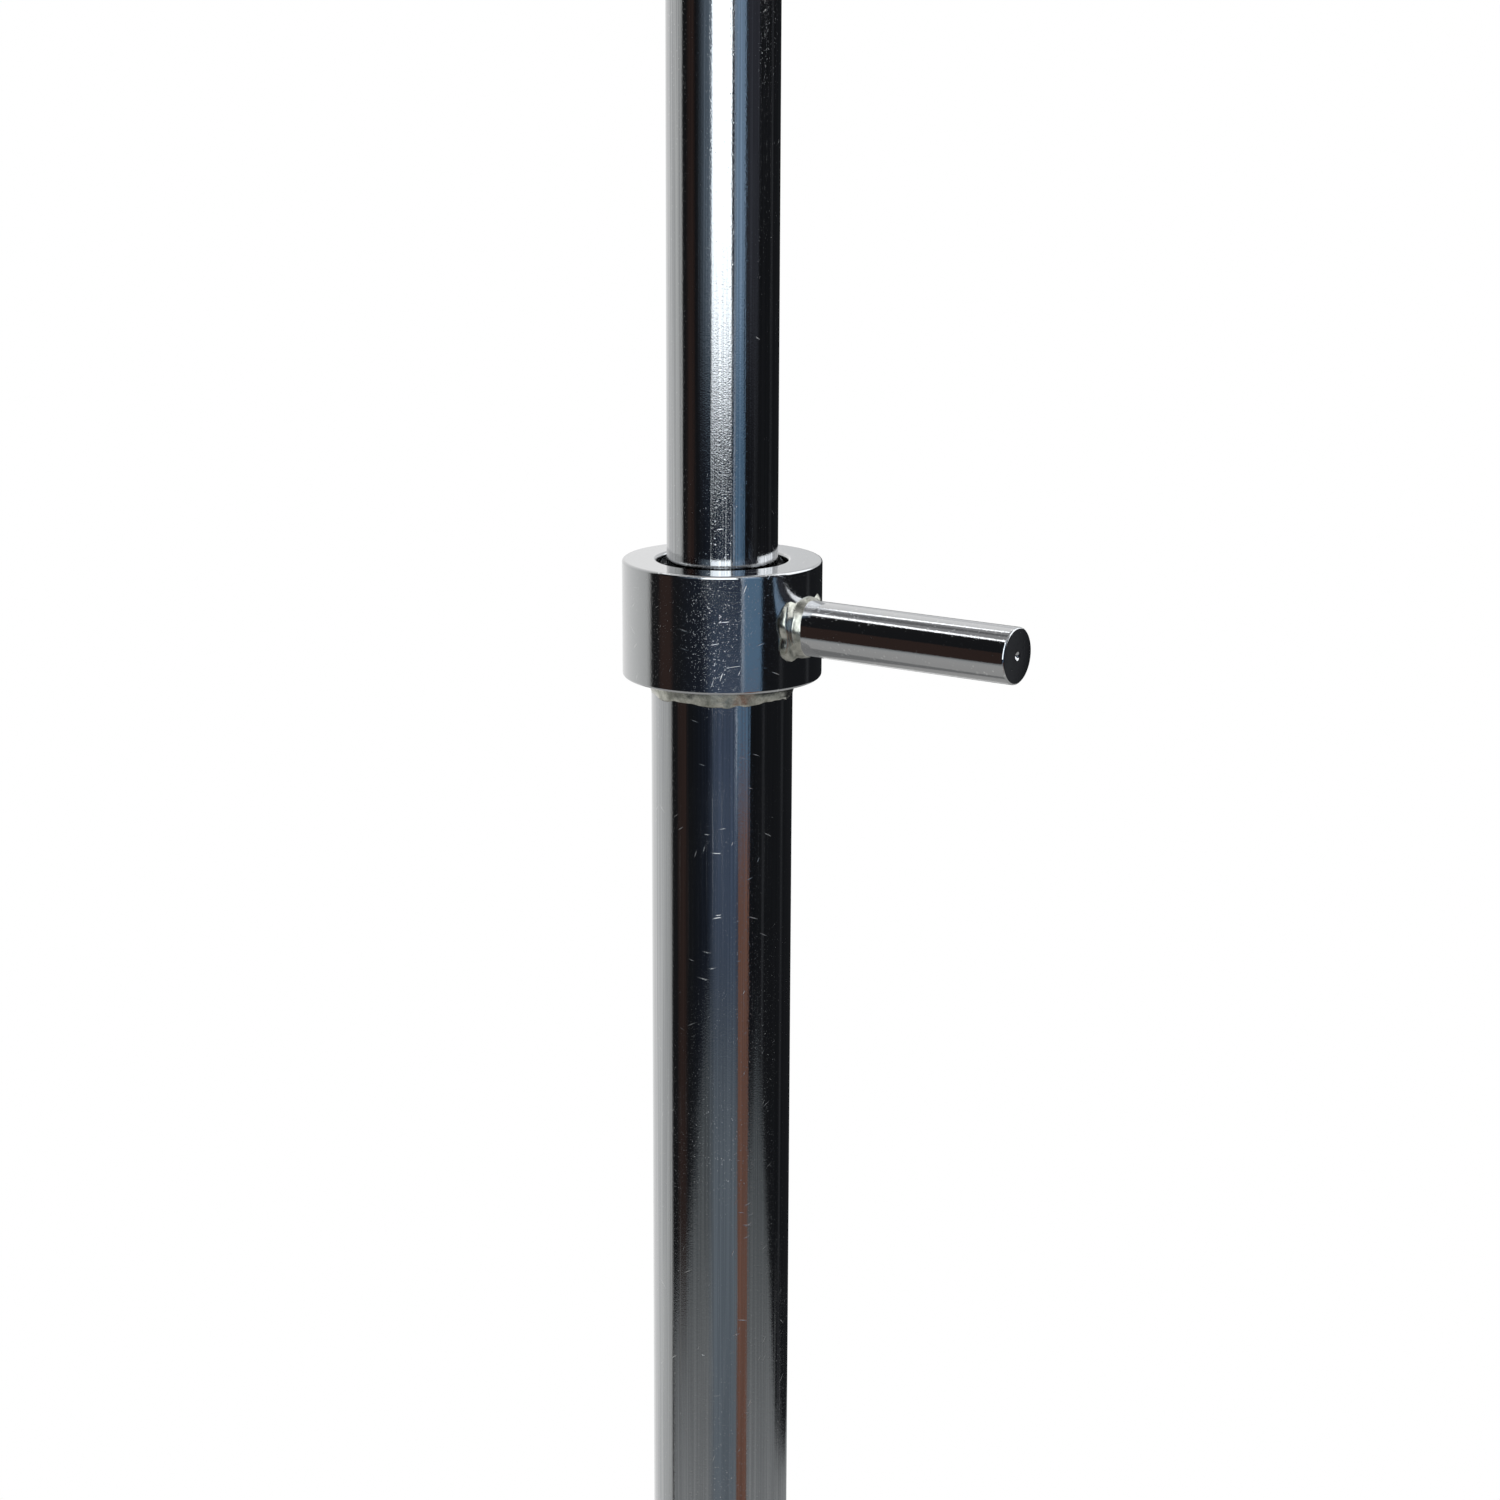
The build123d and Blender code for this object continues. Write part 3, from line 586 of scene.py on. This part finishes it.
def lathe(outline, steps=96, closed=True):  # turns (radius, height) points in metres about the Z axis
    form = bmesh.new()
    points = [form.verts.new((r, 0, z)) for r, z in outline]
    last = points[:1] if closed else []
    edges = [form.edges.new(pair) for pair in zip(points, points[1:] + last)]
    around = {"cent": (0, 0, 0), "axis": (0, 0, 1), "angle": 2 * math.pi, "steps": steps}
    bmesh.ops.spin(form, geom=points + edges, use_merge=True, **around)
    bmesh.ops.remove_doubles(form, verts=form.verts, dist=1e-7)
    bmesh.ops.dissolve_degenerate(form, dist=1e-7, edges=form.edges)
    bmesh.ops.recalc_face_normals(form, faces=form.faces)
    return form


def soften(form, offset, segments=2, angle=30):  # rounds the sharp edges
    sharp = [e for e in form.edges if len(e.link_faces) == 2 and e.calc_face_angle(0) > math.radians(angle)]
    bmesh.ops.bevel(
        form,
        geom=sharp,
        offset=offset,
        affect="EDGES",
        segments=segments,
        profile=0.5,
        material=-1,
        clamp_overlap=True,
    )
    return form


def weigh(piece):  # the broad faces lead the shading, so a rounded edge doesn't bend the wall beside it
    lead = piece.modifiers.new("weigh", "WEIGHTED_NORMAL")
    lead.keep_sharp = True
    lead.mode = "FACE_AREA"
    lead.weight = 100


def finishPiece(form, name, body, finish, replaced=(), place=None, smooth=40):
    if place is not None:
        bmesh.ops.transform(form, matrix=place, verts=form.verts)
    mesh = bpy.data.meshes.new(name)
    form.to_mesh(mesh)
    form.free()
    mesh.shade_smooth()
    mesh.set_sharp_from_angle(angle=math.radians(smooth))
    piece = bpy.data.objects.new(name, mesh)
    bpy.context.scene.collection.objects.link(piece)
    mesh.materials.append(finishes[finish])
    weigh(piece)
    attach(piece, body)
    if replaced:
        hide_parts(*replaced)
    return piece


def looseObject(form, name):  # a passing object, which stands for no piece
    bmesh.ops.recalc_face_normals(form, faces=form.faces)
    mesh = bpy.data.meshes.new(name)
    form.to_mesh(mesh)
    form.free()
    loose = bpy.data.objects.new(name, mesh)
    bpy.context.scene.collection.objects.link(loose)
    return loose


def combine(form, tool, operation):  # cuts a form with a tool, or joins the two into one skin
    host, other = looseObject(form, "host"), looseObject(tool, "tool")
    change = host.modifiers.new("combine", "BOOLEAN")
    change.operation = operation
    change.solver = "EXACT"
    change.object = other
    whole = host.evaluated_get(bpy.context.evaluated_depsgraph_get()).to_mesh()
    result = bmesh.new()
    result.from_mesh(whole)
    for loose in (host, other):
        mesh = loose.data
        bpy.data.objects.remove(loose)
        bpy.data.meshes.remove(mesh)
    bmesh.ops.remove_doubles(result, verts=result.verts, dist=1e-6)
    bmesh.ops.dissolve_degenerate(result, dist=1e-6, edges=result.edges)
    return result


def roundTool(radius, low, high, place, around=40):  # a round cutter from low to high along its place's Z
    form = bmesh.new()
    size = {"radius1": radius, "radius2": radius, "depth": high - low}
    bmesh.ops.create_cone(form, cap_ends=True, segments=around, **size)
    bmesh.ops.translate(form, verts=form.verts, vec=(0, 0, (low + high) / 2))
    bmesh.ops.transform(form, matrix=place, verts=form.verts)
    return form


def turnedPlace(origin, direction):  # a place at origin whose Z runs along direction
    place = direction.to_track_quat("Z", "Y").to_matrix().to_4x4()
    place.translation = origin
    return place


tubes = {
    "pole": {"node": "pole_tube", "wall": 1.5 * mm, "edge": 0.3 * mm, "steps": 160, "screw": "head_screw"},
    "column": {"node": "column_tube", "wall": 1.5 * mm, "edge": 0.3 * mm, "steps": 160},
}
screwHole = {"radius": 2.5 * mm, "from": 0.5, "to": 1.5}  # from, to: shares of the wall's two radii


def screwWay(node):  # the place of a screw that points at the pole's axis, its Z outwards
    low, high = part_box(node)
    centre = (low + high) / 2
    out = Vector((centre.x, centre.y, 0)).normalized()
    return turnedPlace(Vector((0, 0, centre.z)), out)


def cutHole(form, look, inner, outer, screw):
    tool = roundTool(look["radius"], inner * look["from"], outer * look["to"], screwWay(screw))
    return combine(form, tool, "DIFFERENCE")


def makeTube(look, name, body, finish):
    low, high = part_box(look["node"])
    outer, inner = high.x, high.x - look["wall"]
    form = lathe([(inner, low.z), (outer, low.z), (outer, high.z), (inner, high.z)], look["steps"])
    soften(form, look["edge"])
    if "screw" in look:
        form = cutHole(form, screwHole, inner, outer, look["screw"])
    return finishPiece(form, name, body, finish, [look["node"]])


makeTube(tubes["pole"], "poleTube", "pole", "poleChrome")
makeTube(tubes["column"], "columnTube", "base", "columnChrome")

collarShape = {
    "lip": 14.75 * mm,
    "lipHeight": 3.0 * mm,
    "bore": 16.05 * mm,
    "edge": 0.7 * mm,
    "steps": 192,
}


def makeCollar(look):
    low, high = collarLow.z, collarHigh.z
    outer = collarHigh.y
    form = lathe(
        [
            (look["bore"], low),
            (outer, low),
            (outer, high),
            (look["lip"], high),
            (look["lip"], high - look["lipHeight"]),
            (look["bore"], high - look["lipHeight"]),
        ],
        look["steps"],
    )
    soften(form, look["edge"], 4)
    form = cutHole(form, screwHole, look["bore"], outer, "stop_screw")
    return finishPiece(form, "lockCollar", "lock", "collarChrome", ["lock_collar"])


makeCollar(collarShape)

handleShape = {"edge": 0.45 * mm, "dimple": 0.8 * mm, "steps": 96}


def makeHandle(look):
    low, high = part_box("handle_rod")
    radius = (high.y - low.y) / 2
    centre = (low.z + high.z) / 2
    dimple = look["dimple"]
    outline = [(0, low.x), (radius, low.x), (radius, high.x), (dimple, high.x), (0, high.x - dimple)]
    form = lathe(outline, look["steps"], closed=False)
    soften(form, look["edge"], 3)
    place = turnedPlace(Vector((0, 0, centre)), Vector((1, 0, 0)))
    return finishPiece(form, "handleBar", "lock", "handleChrome", ["handle_rod"], place)


makeHandle(handleShape)

# the bead's profile is a hollow fillet, leg long on the collar and rise along the bar; waves are its
# ripples round the bar: share of the leg, count and phase
handleWeld = {
    "leg": 2.9 * mm,
    "rise": 2.3 * mm,
    "sink": 1.2 * mm,
    "root": 0.2 * mm,
    "top": 0.9,
    "hollow": 0.60,
    "face": 8,
    "waves": ((0.12, 5, 1.0), (0.08, 9, 0.0)),
    "lumps": 520.0,
    "depth": 0.26 * mm,
    "along": 0.7,
    "steps": 144,
    "seed": Vector((3.1, 0, 0)),
    "seedAlong": Vector((9, 2, 5)),
}


def filletOutline(look, bar, host, rise):  # the hollow fillet between a bar and a wall at host
    leg = look["leg"]
    outline = [(bar - look["root"], host - look["sink"]), (bar + leg, host - look["sink"])]
    for n in range(look["face"] + 1):
        turn = math.radians(90 * n / look["face"])
        reach = leg * (1 - look["hollow"] * math.sin(2 * turn))
        outline.append((bar + reach * math.cos(turn), host + reach * math.sin(turn) * rise / leg))
    return outline + [(bar - look["root"], host + rise * look["top"])]


def makeHandleWeld(look):
    low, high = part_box("handle_rod")
    bar = (high.y - low.y) / 2
    host = collarHigh.y
    leg = look["leg"]
    form = lathe(filletOutline(look, bar, host, look["rise"]), look["steps"])
    for v in form.verts:
        angle = math.atan2(v.co.y, v.co.x)
        out = Vector((v.co.x, v.co.y, 0))
        proud = sum(share * math.sin(count * angle + phase) for share, count, phase in look["waves"])
        swell = max(0.0, (out.length - bar) / leg) * proud * leg
        v.co += out.normalized() * swell
        spot = v.co * look["lumps"] + look["seed"]
        lump = noise.noise(spot) * look["depth"] * min(1, max(0, (out.length - bar) / mm))
        v.co += out.normalized() * lump
        lump = noise.noise(spot * 0.8 + look["seedAlong"]) * look["depth"] * look["along"]
        v.co.z += lump if v.co.z > host else 0
        v.co.z -= host - math.sqrt(max(host**2 - v.co.y**2, 0))  # down on to the round collar
    place = turnedPlace(Vector((0, 0, (low.z + high.z) / 2)), Vector((1, 0, 0)))
    nodes = ["handle_weld"]
    return finishPiece(form, "handleWeld", "lock", "weldMetal", nodes, place, smooth=80)


makeHandleWeld(handleWeld)

seatWeld = {
    "inside": 0.3 * mm,  # how far it runs into the column's wall
    "gap": 0.1 * mm,  # under the collar
    "short": 0.4 * mm,  # left for the sagging lower edge
    "shy": 0.3 * mm,
    "face": 7,
    "swell": 1.6,
    "lumps": 520.0,
    "depth": 0.30 * mm,
    "sag": 0.9 * mm,
    "steps": 240,
    "seed": Vector((7.7, 0, 0)),
    "seedAlong": Vector((4, 8, 1)),
}


def makeSeatWeld(look):
    low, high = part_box("seat_weld")
    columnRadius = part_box("column_tube")[1].x
    proud, tall = high.x - columnRadius, high.z - low.z
    inside = columnRadius - look["inside"]
    outline = [(inside, low.z), (inside, high.z - 2 * look["gap"])]
    for n in range(look["face"] + 1):
        share = n / look["face"]
        level = high.z - look["gap"] - (tall - look["short"]) * share
        outline.append((columnRadius + (proud - look["shy"]) * (1 - share ** look["swell"]), level))
    form = lathe(outline, look["steps"])
    for v in form.verts:
        out = Vector((v.co.x, v.co.y, 0))
        if out.length > columnRadius:
            spot = v.co * look["lumps"] + look["seed"]
            rise = min(1.0, (out.length - columnRadius) / mm)
            v.co += out.normalized() * noise.noise(spot) * look["depth"] * rise
            drop = min(1.0, (high.z - v.co.z) / tall)
            v.co.z += noise.noise(spot * 0.7 + look["seedAlong"]) * look["sag"] * drop
    return finishPiece(form, "seatWeld", "base", "weldMetal", ["seat_weld"], smooth=80)


makeSeatWeld(seatWeld)
print("pole, column and lock made")


# a round bar or tube through (x, z) corners
def bentBar(radius, corners, bend, bore=0.0, around=48, steps=16):
    form = bmesh.new()
    points = [Vector((x, 0, z)) for x, z in corners]
    ways = [(b - a).normalized() for a, b in zip(points, points[1:])]
    face = turnedPlace(points[0], ways[0])
    for size in (radius, bore) if bore else (radius,):
        bmesh.ops.create_circle(form, cap_ends=False, radius=size, segments=around, matrix=face)
    first = form.edges[:]
    ring = first
    at = points[0]
    for n, way in enumerate(ways):
        last = n == len(ways) - 1
        turn = 0 if last else way.angle(ways[n + 1])
        cut = bend * math.tan(turn / 2)
        goal = points[n + 1] - way * cut
        out = set(bmesh.ops.extrude_edge_only(form, edges=ring)["geom"])
        fresh = {g for g in out if isinstance(g, bmesh.types.BMVert)}
        bmesh.ops.translate(form, verts=list(fresh), vec=goal - at)
        ring = [g for g in out if isinstance(g, bmesh.types.BMEdge) and set(g.verts) <= fresh]
        if last:
            break
        axis = way.cross(ways[n + 1]).normalized()
        centre = goal + axis.cross(way) * bend
        arc = {"cent": centre, "axis": axis, "angle": turn, "steps": steps, "use_merge": False}
        out = bmesh.ops.spin(form, geom=ring, **arc)["geom_last"]
        ring = [g for g in out if isinstance(g, bmesh.types.BMEdge)]
        at = points[n + 1] + ways[n + 1] * cut
    for loop in (first, ring):
        if bore:
            bmesh.ops.bridge_loops(form, edges=loop)
        else:
            bmesh.ops.contextual_create(form, geom=loop)
    bmesh.ops.remove_doubles(form, verts=form.verts, dist=1e-7)
    bmesh.ops.recalc_face_normals(form, faces=form.faces)
    return form


legShape = {"drop": 24 * mm, "bend": 45 * mm, "radius": 11 * mm, "wall": 1.5 * mm, "edge": 0.3 * mm}
legCount = sum(1 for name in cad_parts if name.startswith("leg_") and name[4:].isdigit())
legLow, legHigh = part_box("leg_1")  # leg 1 runs along +Y
firstLeg = math.radians(90)
legReach = legHigh.y - legShape["radius"]
legSlope = math.atan2(legShape["drop"], legReach - legLow.y - mm)
legStart = legLow.y + legShape["radius"] * math.sin(legSlope)
legTop = legHigh.z - legShape["radius"] * math.cos(legSlope)


def legTurn(n):
    return Matrix.Rotation(firstLeg + n * 2 * math.pi / legCount, 4, "Z")


def makeLegs(look):
    corners = [(legStart, legTop), (legReach, legTop - look["drop"]), (legReach, legLow.z)]
    bore = look["radius"] - look["wall"]
    for n in range(legCount):
        form = bentBar(look["radius"], corners, look["bend"], bore, around=64, steps=24)
        soften(form, look["edge"])
        finishPiece(form, f"leg{n + 1}", "base", "legChrome", [f"leg_{n + 1}"], legTurn(n))


makeLegs(legShape)

legWeld = {
    "leg": 4.0 * mm,
    "sink": 1.0 * mm,
    "root": 0.2 * mm,
    "top": 0.96,
    "hollow": 0.34,
    "face": 8,
    "lumps": 330.0,
    "depth": 0.6 * mm,
    "along": 0.5,
    "steps": 96,
    "seed": Vector((0, 1.7, 0)),
    "seedLeg": Vector((7.3, 0, 0)),
    "seedAlong": Vector((3, 9, 4)),
}


def makeLegWelds(look):
    bar = legShape["radius"]
    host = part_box("base_hub")[1].x
    leg = look["leg"]
    whole = bmesh.new()
    for n in range(legCount):
        form = lathe(filletOutline(look, bar, 0.0, leg), look["steps"])
        for v in form.verts:
            out = Vector((v.co.x, v.co.y, 0))
            spot = v.co * look["lumps"] + look["seed"] + n * look["seedLeg"]
            proud = max(0.0, out.length - bar) / leg
            v.co += out.normalized() * noise.noise(spot) * look["depth"] * proud
            lump = noise.noise(spot + look["seedAlong"]) * look["depth"] * look["along"]
            v.co.z += lump if v.co.z > 0 else 0
            v.co.z += (math.sqrt(host**2 - v.co.y**2) - host) / math.cos(legSlope)
        way = Vector((math.cos(legSlope), 0, -math.sin(legSlope)))
        root = Vector((0, 0, legTop + legStart * math.tan(legSlope)))
        place = turnedPlace(root, way) @ Matrix.Translation((0, 0, host / math.cos(legSlope)))
        for v in form.verts:  # the leg slopes, so the hub's upright wall leans across the bead
            height = (place.to_3x3() @ Vector((v.co.x, v.co.y, 0))).z
            v.co.z += height * math.tan(legSlope)
        bmesh.ops.transform(form, matrix=legTurn(n) @ place, verts=form.verts)
        part = bpy.data.meshes.new("legWeldPart")
        form.to_mesh(part)
        form.free()
        whole.from_mesh(part)
        bpy.data.meshes.remove(part)
    finishPiece(whole, "legWelds", "base", "weldMetal", ["leg_welds"], smooth=80)


makeLegWelds(legWeld)
print("base made")


hookShape = {
    "radius": 3.5 * mm,
    "ball": 5.5 * mm,
    "neck": 38 * mm,  # distances from the pole's axis
    "dipStart": 56 * mm,
    "dipEnd": 80 * mm,
    "tipUp": 14 * mm,
    "bend": 11 * mm,
}


def makeHooks(look):
    low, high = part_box("hook_1")
    tip = (high.x - look["ball"], high.z - look["ball"])
    top = tip[1] - look["tipUp"]
    dip = low.z + look["radius"]
    corners = [(low.x, top), (look["neck"], top), (look["dipStart"], dip), (look["dipEnd"], dip), tip]
    count = sum(1 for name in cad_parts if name.startswith("hook_") and name[5:].isdigit())
    for n in range(count):
        form = bentBar(look["radius"], corners, look["bend"], around=40, steps=14)
        ball = bmesh.new()
        place = Matrix.Translation((tip[0], 0, tip[1]))
        bmesh.ops.create_uvsphere(ball, u_segments=48, v_segments=32, radius=look["ball"], matrix=place)
        form = combine(form, ball, "UNION")
        turn = Matrix.Rotation(n * 2 * math.pi / count, 4, "Z")
        finishPiece(form, f"hook{n + 1}", "pole", "hookChrome", [f"hook_{n + 1}"], turn)


makeHooks(hookShape)
print("hooks made")


# ribs across the tread, counted inwards from its outer end
pedalGrip = {
    "ribs": 6,
    "pitch": 2.5 * mm,
    "from": 3.6 * mm,
    "width": 1.2 * mm,
    "long": 20 * mm,
    "proud": 0.7 * mm,
    "plate": 3 * mm,
    "edge": 0.3 * mm,
}


def makePedalGrips(look):
    pinLow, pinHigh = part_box("brake_pin_1")
    top = (pinLow.z + pinHigh.z) / 2 + look["plate"] / 2
    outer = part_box("brake_pedal_1")[1].y  # castor 1 trails along +Y
    for n in (1, 2):
        form = bmesh.new()
        for rib in range(look["ribs"]):
            place = Matrix.Translation((outer - look["from"] - rib * look["pitch"], 0, top))
            size = Matrix.Diagonal((look["width"], look["long"], 2 * look["proud"], 1))
            bmesh.ops.create_cube(form, size=1, matrix=place @ size)
        soften(form, look["edge"])
        finishPiece(form, f"pedalGrip{n}", f"pedal_{n}", "blackRubber", place=legTurn(n - 1))


makePedalGrips(pedalGrip)
print("pedal grips made")


# the pieces kept as they come: finish, and the width in mm of the rounding on their edges
carriedPieces = {
    "base_hub": ("hubChrome", 0.0),
    "hook_head": ("hookChrome", 0.0),
    "stop_screw": ("blackSteel", 0.12),
    "head_screw": ("blackSteel", 0.12),
    "clamp_shoe": ("brass", 0.2),
    "guide_bush": ("blackNylon", 0.2),
    "pole_foot_bush": ("blackNylon", 0.4),
    "pole_circlips": ("blackSteel", 0.15),
    "pole_buffer": ("blackRubber", 0.4),
    "column_plug": ("zincSteel", 0.3),
    "column_washer": ("zincSteel", 0.3),
    "column_bolt": ("zincSteel", 0.3),
    "leg_sockets": ("greyNylon", 0.4),
    "castor_stems": ("zincSteel", 0.3),
    "castor_fork": ("zincSteel", 0.5),
    "castor_axle": ("zincSteel", 0.3),
    "castor_wheel": ("greyPlastic", 0.5),
    "castor_tyre": ("greyRubber", 0.3),
    "brake_pedal": ("blackPlastic", 0.6),
    "brake_pin": ("zincSteel", 0.3),
}


def dressNode(node, finish, rounding):
    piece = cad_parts[node]
    piece.data.materials.clear()
    piece.data.materials.append(finishes[finish])
    if rounding:
        weld = piece.modifiers.new("merge", "WELD")
        weld.merge_threshold = 0.002 * mm
        edge = piece.modifiers.new("rounding", "BEVEL")
        edge.width = rounding * mm
        edge.segments = 2
        edge.limit_method = "ANGLE"
        edge.angle_limit = math.radians(35)
        edge.harden_normals = True


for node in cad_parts:
    base = node.rstrip("0123456789").rstrip("_")
    if base in carriedPieces:
        dressNode(node, *carriedPieces[base])
print("carried pieces dressed")


floorShape = {"radius": 1.55, "fadeFrom": 0.9, "colour": (0.86, 0.86, 0.86)}


def makeFloor(look):
    form = bmesh.new()
    bmesh.ops.create_circle(form, cap_ends=True, radius=look["radius"], segments=128)
    mesh = bpy.data.meshes.new("floor")
    form.to_mesh(mesh)
    form.free()
    floor = bpy.data.objects.new("floor", mesh)
    bpy.context.scene.collection.objects.link(floor)
    material, tree, shade, place = newFinish("floorPaint")
    cloud = useGroup(tree, cloudsGroup, {"Position": place, "Scale": 3.0, "Low": 0.45, "High": 0.6})
    tree.links.new(cloud, shade.inputs["Roughness"])
    shade.inputs["Base Color"].default_value = (*look["colour"], 1)
    away = put(tree, "ShaderNodeVectorMath", {0: place}, operation="LENGTH").outputs["Value"]
    shown = remap(tree, away, look["radius"], look["fadeFrom"], smooth=True)
    tree.links.new(shown, shade.inputs["Alpha"])
    mesh.materials.append(material)
    floor.visible_glossy = False


makeFloor(floorShape)
